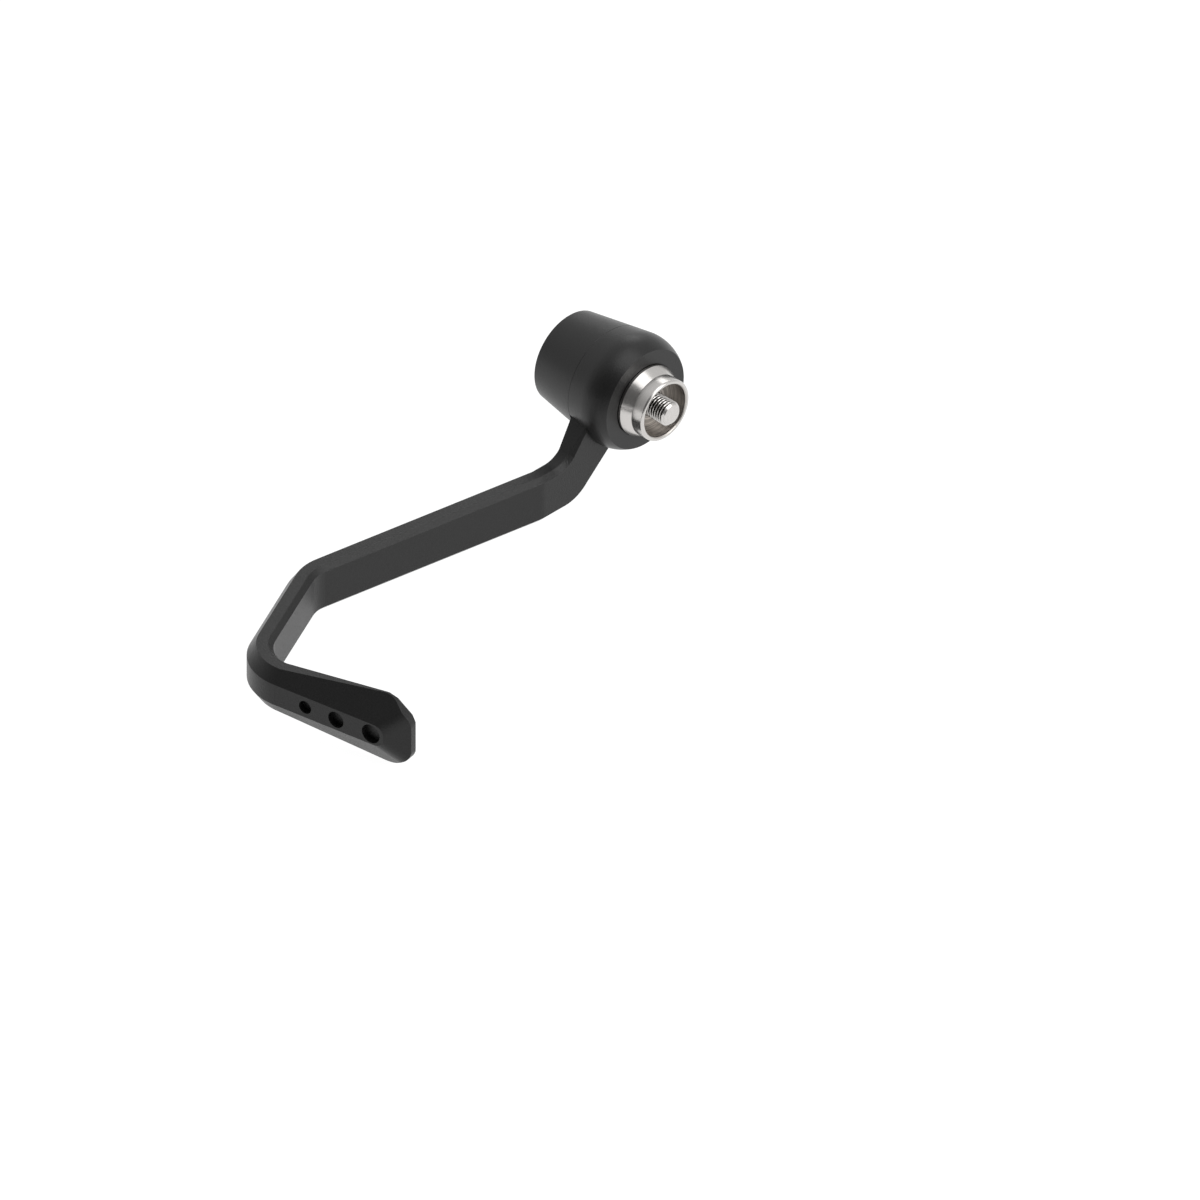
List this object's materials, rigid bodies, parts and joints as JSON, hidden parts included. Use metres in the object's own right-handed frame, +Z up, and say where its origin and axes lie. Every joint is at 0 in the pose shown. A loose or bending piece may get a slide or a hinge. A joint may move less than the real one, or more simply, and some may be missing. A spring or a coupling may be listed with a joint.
{
  "type": "brake lever guard",
  "caption": "Black machined lever guard for a handlebar's left end, its arm clamped in a moulded bobbin by one bolt",
  "frame": {"origin": "on the handlebar's axis, at the root of the spacer's cup, where the end of the bar seats", "axes": "+X runs along the bar's axis out of its left end, +Y runs forward past the lever, +Z runs up; the arm hangs below the bar and ends in a blade across the front of the lever"},
  "size_m": [0.087, 0.1868, 0.0551],
  "materials": {
    "arm_coating": "black satin coating on machined aluminium",
    "bobbin_nylon": "fine-grained matt black moulded nylon",
    "turned_steel": "turned and polished stainless steel",
    "bolt_steel": "bright stainless steel"
  },
  "bodies": {
    "root": {"guard_arm": "arm_coating", "inner_bobbin": "bobbin_nylon", "outer_bobbin": "bobbin_nylon", "bar_spacer": "turned_steel", "head_collar": "turned_steel", "clamp_bolt": "bolt_steel"}
  },
  "joints": []
}
